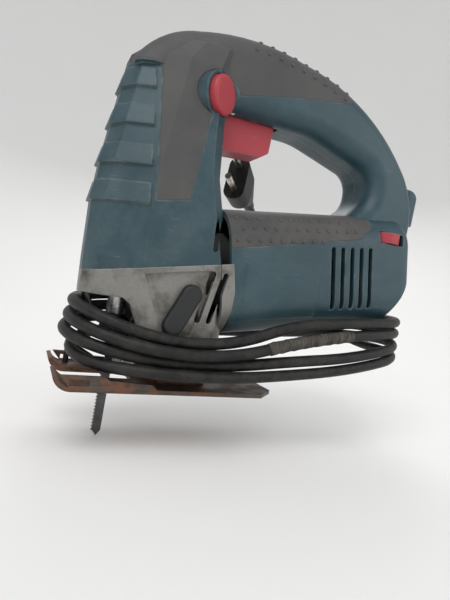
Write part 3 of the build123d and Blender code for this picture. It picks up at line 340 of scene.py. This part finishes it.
def surface_of(name):
    """A tree of a CAD node's faces, to find where its surface is."""
    mesh = nodes[name].data
    return BVHTree.FromPolygons([v.co for v in mesh.vertices], [p.vertices for p in mesh.polygons])


def new_piece(name, shape, finish, body):
    """Turn a finished bmesh into an object that rides on a body."""
    mesh = bpy.data.meshes.new(name)
    shape.to_mesh(mesh)
    shape.free()
    mesh.materials.append(finish)
    piece = bpy.data.objects.new(name, mesh)
    bpy.context.scene.collection.objects.link(piece)
    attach(piece, body)
    return piece


def smooth(shape):
    """Smooth shading over a whole bmesh."""
    for face in shape.faces:
        face.smooth = True


def label_field():
    """A closed sheet laid on the near side, its border sunk into the shell."""
    shell = surface_of("left_shell")
    shape = bmesh.new()
    columns, rows = FIELD_CELLS
    layers = []
    for raised in (1, 0):
        grid = []
        for i in range(columns + 1):
            line = []
            for k in range(rows + 1):
                x = FIELD_LOW[0] + (FIELD_HIGH[0] - FIELD_LOW[0]) * i / columns
                z = (FIELD_LOW[1] + (FIELD_HIGH[1] - FIELD_LOW[1]) * k / rows
                     + FIELD_SLOPE * (x - FIELD_LOW[0]))
                place, normal, _, _ = shell.ray_cast(Vector((x, -0.08, z)), Vector((0, 1, 0)))
                border = min(i, columns - i, k, rows - k)
                raise_by = FIELD_RAISE * (-1, 0.6)[border > 0] if border < 2 else FIELD_RAISE
                line.append(shape.verts.new(place + normal * (raise_by if raised else -2 * FIELD_RAISE)))
            grid.append(line)
        layers.append(grid)
    for raised, grid in zip((1, 0), layers):
        for i in range(columns):
            for k in range(rows):
                corners = [grid[i][k], grid[i + 1][k], grid[i + 1][k + 1], grid[i][k + 1]]
                shape.faces.new(corners if raised else corners[::-1])
    ring = [(i, 0) for i in range(columns)] + [(columns, k) for k in range(rows)]
    ring += [(i, rows) for i in range(columns, 0, -1)] + [(0, k) for k in range(rows, 0, -1)]
    top, base = layers
    for (a, b), (c, d) in zip(ring, ring[1:] + ring[:1]):
        shape.faces.new((top[c][d], top[a][b], base[a][b], base[c][d]))
    smooth(shape)
    return shape


new_piece("label_field", label_field(), shell_plastic(), "housing")

# Rubber grip and pad: soft rubber moulded over the handle's crest, down the column and on the
# barrel, with rows of small pips. Brown dust has worked into it.
RUBBER_GREY = (0.050, 0.051, 0.052)
RUBBER_DUST = (0.104, 0.090, 0.076)


def grip_rubber(name, pale_share):
    """Matt rubber with a leathery grain and dust in patches, paler where the surface turns sharply, most of
    all on the round pips: painted highlight.
    """
    finish, places = new_finish(name)
    grain = places.noise(0.0011, 4.0, 0.65)
    cloud = places.noise(0.035, 5.0, 0.65)
    smear = places.noise(0.009, 5.0, 0.7)
    edge, soft = edge_and_bevel(places, 0.0012)
    shade = cloud.between(0.3, 0.7).mix(tuple(0.8 * c for c in RUBBER_GREY),
                                        tuple(1.2 * c for c in RUBBER_GREY))
    dust = (cloud * 0.5 + smear * 0.5).between(0.40, 0.78)
    # Paler with the dust and where the surface turns sharply. The dust is real, while the edge term and the
    # pips' larger share of pale colour are painted highlight.
    colour = (dust * pale_share + edge * 0.25).mix(shade, RUBBER_DUST)
    return set_finish(finish, places, colour, dust * 0.10 + 0.62, 0.0, grain, 0.00008, soft)


wear(grip_rubber("handle_rubber", 0.35), "handle_grip")
wear(grip_rubber("pad_rubber", 0.75), "motor_pad")

PIP_RADIUS = 0.0014
PIP_HEIGHT = 0.0008


def add_pips(shape, surface, rays):
    """Low round pips where rays from outside meet a surface."""
    for start, way in rays:
        place, normal, _, _ = surface.ray_cast(Vector(start), Vector(way))
        if place is None:
            continue
        if normal.dot(Vector(way)) > 0:
            normal = -normal
        turn = normal.to_track_quat("Z", "Y").to_matrix().to_4x4()
        size = Matrix.Diagonal((PIP_RADIUS, PIP_RADIUS, PIP_HEIGHT, 1))
        bmesh.ops.create_icosphere(shape, subdivisions=2, radius=1.0,
                                   matrix=Matrix.Translation(place) @ turn @ size)


CREST_LEANS = (-78, -52, -26, 0, 26, 52, 78)
CREST_PIPS = 11
CREST_PITCH = 0.0085
CREST_START = 0.062
CREST_END = 0.146
CREST_TAPER = 0.0002
CREST_TOP = 0.2195
CREST_FALL = 2.39


def crest_rays():
    """Staggered rows over the handle's crest, each ray aimed at the crest's middle line."""
    rays = []
    for row, lean in enumerate(CREST_LEANS):
        for k in range(CREST_PIPS):
            x = CREST_START + CREST_PITCH * (k + 0.5 * (row % 2))
            if x > CREST_END - abs(lean) * CREST_TAPER:
                continue
            crest = CREST_TOP - CREST_FALL * (x - CREST_START) ** 2
            way = Vector((0.0, math.sin(math.radians(lean)), math.cos(math.radians(lean))))
            rays.append((Vector((x, 0.0, crest - 0.014)) + way * 0.06, -way))
    return rays


PAD_LEANS = (-72, -60, -48, 48, 60, 72)
PAD_PIPS = 12
PAD_PITCH = 0.0075
PAD_START = 0.066
PAD_LEAN_BACK = -0.139
MOTOR_FRONT = (0.062, 0.074)
MOTOR_RISE = 0.1405


def pad_rays():
    """Staggered rows round the barrel's shoulders, square to the motor line."""
    rays = []
    for row, lean in enumerate(PAD_LEANS):
        for k in range(PAD_PIPS):
            x = PAD_START + PAD_PITCH * (k + 0.5 * (row % 2))
            middle = MOTOR_FRONT[1] + MOTOR_RISE * (x - MOTOR_FRONT[0])
            way = Vector((PAD_LEAN_BACK, math.sin(math.radians(lean)), math.cos(math.radians(lean))))
            rays.append((Vector((x, 0.0, middle + 0.008)) + way * 0.08, -way))
    return rays


# Each set of pips gets its own paler copy of the rubber under it (0.6 against 0.35 on the handle, 1.3
# against 0.75 on the pad): the extra paleness is painted highlight on the pip tops, over the real dust.
for name, node, rays, pale_share in (("handle_pips", "handle_grip", crest_rays(), 0.6),
                                ("pad_pips", "motor_pad", pad_rays(), 1.3)):
    pips = bmesh.new()
    add_pips(pips, surface_of(node), rays)
    smooth(pips)
    new_piece(name, pips, grip_rubber(name + "_rubber", pale_share), "housing")

# Controls: the red trigger, the lock button on the shoulder and the speed thumbwheel are moulded
# in red, and the orbital lever is a black paddle. All are rubbed by fingers.
CONTROL_RED = (0.35, 0.030, 0.043)
red_plastic = moulded_plastic("red_plastic", CONTROL_RED, (0.46, 0.19, 0.20), 0.42)
wear(red_plastic, "trigger", "lock_button", "speed_dial")
lever_plastic = moulded_plastic("lever_plastic", (0.008, 0.009, 0.010), (0.050, 0.052, 0.054), 0.50)
wear(lever_plastic, "orbital_lever")

# Cord: a rubber-sheathed mains lead. It leaves the relief, goes round behind the barrel, winds
# four times round the tool's neck, and its tail comes up the far side to the plug.
CORD_DIAMETER = 0.007
CORD_STEP = 15.0
LEAD_ROUTE = ((206.5, 0.0, 98.0), (205.7, 0.0, 87.7), (205.0, 6.1, 74.0), (203.3, 17.5, 65.0),
              (199.8, 31.6, 62.1), (190.8, 43.1, 62.1), (177.3, 49.6, 62.3), (157.0, 50.9, 62.0),
              (136.0, 44.0, 59.0), (112.0, 41.2, 56.4))
TAIL_ROUTE = ((210.6, 18.1, 32.7), (203.7, 35.7, 35.9), (190.8, 52.7, 49.6), (182.0, 61.0, 58.1),
              (177.0, 67.4, 65.7), (167.2, 78.4, 80.4), (161.0, 86.1, 91.1), (153.8, 98.1, 105.9),
              (141.1, 99.9, 120.1), (126.7, 90.4, 131.3), (114.9, 76.3, 136.3))
FAR_PASSES = ((90.0, 41.5, 55.0, -0.05), (90.0, 41.5, 46.6, -0.05),
              (90.0, 41.5, 38.6, -0.05), (90.0, 41.5, 30.6, -0.05))
NOSE_PASSES = ((-23.4, 0.0, 45.0, -0.07), (-25.0, 0.0, 36.5, -0.10),
               (-26.9, 0.0, 28.5, -0.11), (-22.0, 0.0, 17.5, -0.17))
NEAR_PASSES = ((45.0, -38.0, 30.5, 0.033), (45.0, -43.5, 24.5, 0.025),
               (45.0, -37.3, 18.1, 0.006), (45.0, -43.1, 12.6, 0.0))
FLANK_PASSES = ((125.0, -40.0, 49.5, 0.12), (125.0, -40.0, 39.5, 0.20),
                (125.0, -40.0, 26.4, 0.11), (125.0, -40.0, 18.2, 0.13))
REAR_PASSES = ((208.0, 0.0, 56.5, 0.0), (208.0, 0.0, 48.5, 0.0),
               (208.0, 0.0, 40.5, 0.0), (208.0, 0.0, 32.5, 0.0))
PASS_WAYS = ((-1, 0), (0, -1), (1, 0), (1, 0), (0, 1))


def arc_corners(start, way, end):
    """Control points round an arc that leaves a start with a heading and reaches an end."""
    chord = end - start
    half = way.angle(chord)
    side = (chord - way * chord.dot(way)).normalized()
    radius = chord.length / (2 * math.sin(half))
    count = max(1, round(2 * half * radius / CORD_STEP))
    step = 2 * half / count
    corners = []
    for k in range(count):
        angle = (k + 0.5) * step
        out = radius / math.cos(step / 2)
        corners.append(start + side * (radius - out * math.cos(angle)) + way * (out * math.sin(angle)))
    return corners


def coil_turns():
    """The coil's control points, from the far side round to the last pass behind the barrel."""
    stations = []
    for turn in zip(FAR_PASSES, NOSE_PASSES, NEAR_PASSES, FLANK_PASSES, REAR_PASSES):
        for (*place, climb), way in zip(turn, PASS_WAYS):
            stations.append((Vector(place), Vector((*way, climb)).normalized()))
    corners = []
    for (start, way), (end, end_way) in zip(stations, stations[1:]):
        across = end - start
        lean = across.dot(way + end_way)
        turn = 1 - way.dot(end_way)
        reach = across.dot(across) / (lean + math.sqrt(lean ** 2 + 2 * turn * across.dot(across)))
        first = start + way * reach
        last = end - end_way * reach
        joint = (first + last) * 0.5
        corners += arc_corners(start, way, joint)
        corners += arc_corners(joint, (last - first).normalized(), end)
    return corners


def new_cord(name, points, finish):
    """A round cord on one smooth spline through its route."""
    curve = bpy.data.curves.new(name, "CURVE")
    curve.dimensions = "3D"
    curve.bevel_depth = CORD_DIAMETER / 2
    curve.bevel_resolution = 5
    curve.use_fill_caps = True
    curve.resolution_u = 8
    spline = curve.splines.new("NURBS")
    spline.points.add(len(points) - 1)
    for place, point in zip(spline.points, points):
        place.co = (*(c / 1000 for c in point), 1)
    spline.order_u = 3
    spline.use_endpoint_u = True
    curve.materials.append(finish)
    piece = bpy.data.objects.new(name, curve)
    bpy.context.scene.collection.objects.link(piece)
    return piece


def cord_rubber(name, pale_share):
    """Matt black sheath with grey dust and rubbed streaks."""
    finish, places = new_finish(name)
    grain = places.noise(0.0008, 3.0, 0.6)
    cloud = places.noise(0.016, 5.0, 0.65)
    smear = places.noise(0.004, 4.0, 0.65)
    dust = (cloud * 0.6 + smear * 0.4).between(0.40, 0.74)
    colour = (dust * pale_share).mix((0.007, 0.007, 0.007), (0.055, 0.052, 0.047))
    return set_finish(finish, places, colour, dust * 0.16 + 0.46, 0.0, grain * 0.6 + smear * 0.4, 0.00010,
                      Specular_IOR_Level=0.28)


cord_sheath = cord_rubber("cord_sheath", 0.6)
cord_route = [*LEAD_ROUTE, *coil_turns(), *TAIL_ROUTE]
cord = new_cord("cord", cord_route, cord_sheath)
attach(cord, "housing")
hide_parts("cord_lead", "cord_coil", "cord_tail")

# Tape: a cloth repair wound round the second strand along the near flank, frayed and grey with dust.
# It goes where the cord goes.
TAPE_STRAND = 2
TAPE_FROM = 88.0
TAPE_TO = 150.0
TAPE_STEPS = 9
TAPE_SIDES = 24
TAPE_PITCH = 0.0085
TAPE_LAP = 0.00045


def tape_line():
    """The cord's middle line under the tape, on the spline's own pieces."""
    route = [Vector(point) for point in cord_route]
    line = []
    strand = 0
    for before, corner, after in zip(route, route[1:], route[2:]):
        if corner.y < 0 and before.x < TAPE_FROM <= corner.x:
            strand += 1
        if strand == TAPE_STRAND and corner.y < 0 and TAPE_FROM <= corner.x < TAPE_TO:
            start = before.lerp(corner, 0.5)
            end = corner.lerp(after, 0.5)
            for k in range(TAPE_STEPS):
                share = k / TAPE_STEPS
                line.append(start.lerp(corner, share).lerp(corner.lerp(end, share), share) / 1000)
    return line


def wound_tape():
    """A closed sleeve of overlapping turns with frayed edges, its ends sunk into the cord."""
    line = tape_line()
    shape = bmesh.new()
    rings = []
    run = 0.0
    for k in range(1, len(line) - 1):
        ahead = (line[k + 1] - line[k - 1]).normalized()
        aside = ahead.cross(Vector((0, 0, 1))).normalized()
        above = aside.cross(ahead)
        run += (line[k] - line[k - 1]).length
        ring = []
        for side in range(TAPE_SIDES):
            angle = math.tau * side / TAPE_SIDES
            lap = (run / TAPE_PITCH + side / TAPE_SIDES) % 1.0
            fray = 0.00012 * math.sin(17.0 * angle + 900.0 * run) * math.sin(5.0 * angle + 2300.0 * run)
            out = CORD_DIAMETER / 2 + 0.0002 + TAPE_LAP * (1 - lap) + fray
            if k in (1, len(line) - 2):
                out = CORD_DIAMETER / 2 - 0.0004
            ring.append(shape.verts.new(line[k] + (aside * math.cos(angle) + above * math.sin(angle)) * out))
        rings.append(ring)
    for first, second in zip(rings, rings[1:]):
        for side in range(TAPE_SIDES):
            after = (side + 1) % TAPE_SIDES
            shape.faces.new((first[side], first[after], second[after], second[side]))
    shape.faces.new(rings[0][::-1])
    shape.faces.new(rings[-1])
    bmesh.ops.recalc_face_normals(shape, faces=shape.faces)
    smooth(shape)
    return shape


def dusty_cloth():
    """Woven tape, grey with dust and dark where it has come away."""
    finish, places = new_finish("dusty_cloth")
    weave = places.noise(0.0005, 2.0, 0.6)
    cloud = places.noise(0.007, 5.0, 0.7)
    laps = places.stretched((1.0, 0.1, 0.1)).noise(0.0016, 3.0, 0.7)
    dust = (cloud * 0.35 + laps * 0.50 + weave * 0.15).between(0.40, 0.66)
    colour = dust.mix((0.016, 0.015, 0.014), (0.120, 0.103, 0.084))
    return set_finish(finish, places, colour, 0.85, 0.0, weave, 0.00015)


tape = new_piece("tape", wound_tape(), dusty_cloth(), "housing")

# Strain relief and plug: moulded rubber with grip rings, and two round plated pins.
wear(cord_rubber("relief_rubber", 0.45), "strain_relief")
wear(cord_rubber("plug_rubber", 0.8), "plug")
wear(turned_metal("pin_plate", (0.62, 0.58, 0.50), (0.34, 0.31, 0.26), 0.24), "plug_pins")

# Stage: a pale seamless sweep with soft light from all round, and the camera at the photograph's
# place and turn.
FLOOR_HEIGHT = cad_box[0][2]
PAPER = (0.87, 0.86, 0.845)
SWEEP_FLAT = 0.5
SWEEP_BEND = 1.6


def pale_paper():
    """Plain matt paper."""
    finish, places = new_finish("pale_paper")
    cloud = places.noise(0.4, 2.0)
    colour = cloud.mix(PAPER, tuple(0.97 * c for c in PAPER))
    return set_finish(finish, places, colour, 0.9)


SWEEP_STEPS = 64
sweep = bmesh.new()
rim = [sweep.verts.new((r, 0, FLOOR_HEIGHT)) for r in (0.0, 0.25, SWEEP_FLAT)]
for turn in range(1, 13):
    angle = math.radians(7.5 * turn)
    rim.append(sweep.verts.new((SWEEP_FLAT + SWEEP_BEND * math.sin(angle), 0,
                                FLOOR_HEIGHT + SWEEP_BEND * (1 - math.cos(angle)))))
edges = [sweep.edges.new(pair) for pair in zip(rim, rim[1:])]
bmesh.ops.spin(sweep, geom=rim + edges, cent=(0, 0, 0), axis=(0, 0, 1), angle=math.tau, steps=SWEEP_STEPS,
               use_merge=True)
bmesh.ops.remove_doubles(sweep, verts=sweep.verts, dist=1e-5)
bmesh.ops.recalc_face_normals(sweep, faces=sweep.faces)
smooth(sweep)
paper = bpy.data.meshes.new("sweep")
sweep.to_mesh(paper)
sweep.free()
paper.materials.append(pale_paper())
floor = bpy.data.objects.new("sweep", paper)
bpy.context.scene.collection.objects.link(floor)

world = bpy.data.worlds.new("soft_room")
world.use_nodes = True
world.node_tree.nodes["Background"].inputs["Color"].default_value = (0.95, 0.97, 1.0, 1)
world.node_tree.nodes["Background"].inputs["Strength"].default_value = 0.60
bpy.context.scene.world = world

for name, place, aim, size, power in (("key", (-0.5, -0.7, 1.1), (0.08, 0.0, 0.1), 0.9, 9.5),
                                      ("side", (0.9, -0.8, 0.5), (0.1, 0.0, 0.1), 0.8, 3.0),
                                      ("back", (0.5, 0.9, 1.0), (0.1, 0.0, 0.1), 0.8, 5.0)):
    light = bpy.data.lights.new(name, "AREA")
    light.size = size
    light.energy = power
    lamp = bpy.data.objects.new(name, light)
    lamp.location = place
    lamp.rotation_euler = (Vector(aim) - Vector(place)).to_track_quat("-Z", "Y").to_euler()
    bpy.context.scene.collection.objects.link(lamp)

# Camera: stands where the photo was taken from, as estimated. Its focal length is in pixels of the photo.
CAMERA_PLACE = (-0.0518, -0.2858, 0.0650)
CAMERA_RIGHT = (0.910, -0.391, 0.136)
CAMERA_AHEAD = (0.399, 0.917, -0.029)
FOCAL_PIXELS = 466.9
PHOTO_HEIGHT = 600
SENSOR = 36.0
lens = bpy.data.cameras.new("camera")
lens.sensor_width = SENSOR
lens.lens = FOCAL_PIXELS / PHOTO_HEIGHT * SENSOR
lens.clip_start = 0.01
camera = bpy.data.objects.new("camera", lens)
right = Vector(CAMERA_RIGHT).normalized()
ahead = Vector(CAMERA_AHEAD).normalized()
up = right.cross(ahead).normalized()
right = ahead.cross(up)
turned = Matrix((right, up, -ahead)).transposed().to_4x4()
camera.matrix_world = Matrix.Translation(CAMERA_PLACE) @ turned
bpy.context.scene.collection.objects.link(camera)
bpy.context.scene.camera = camera
bpy.context.scene.view_settings.view_transform = "Standard"

bpy.context.view_layer.update()
